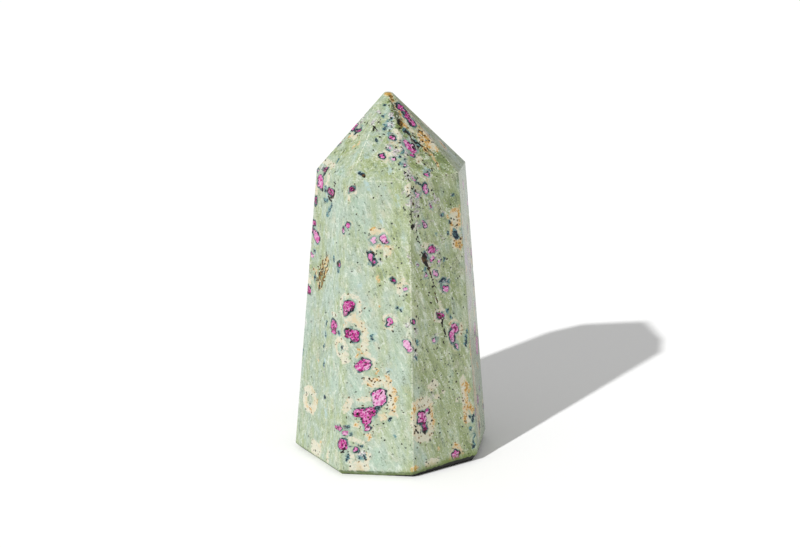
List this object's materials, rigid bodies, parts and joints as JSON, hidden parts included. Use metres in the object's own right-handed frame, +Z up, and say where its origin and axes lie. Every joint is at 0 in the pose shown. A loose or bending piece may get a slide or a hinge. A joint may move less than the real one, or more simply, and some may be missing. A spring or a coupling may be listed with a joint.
{
  "type": "polished ruby in fuchsite point",
  "caption": "Free-standing polished stone point with tapering ground sides, a faceted tip and a flat sawn foot, pale green with pink ruby crystals.",
  "frame": {"origin": "middle of the footprint's bounding box, on the flat foot", "axes": "+Z up through the stone from foot to tip, -Y towards the broad front side"},
  "size_m": [0.0448, 0.0444, 0.0836],
  "materials": {
    "stone": "polished ruby in fuchsite, pale sage green mottled with olive and mint, with pink ruby crystals in teal rims"
  },
  "bodies": {
    "root": {"stone_point": "stone"}
  },
  "joints": []
}
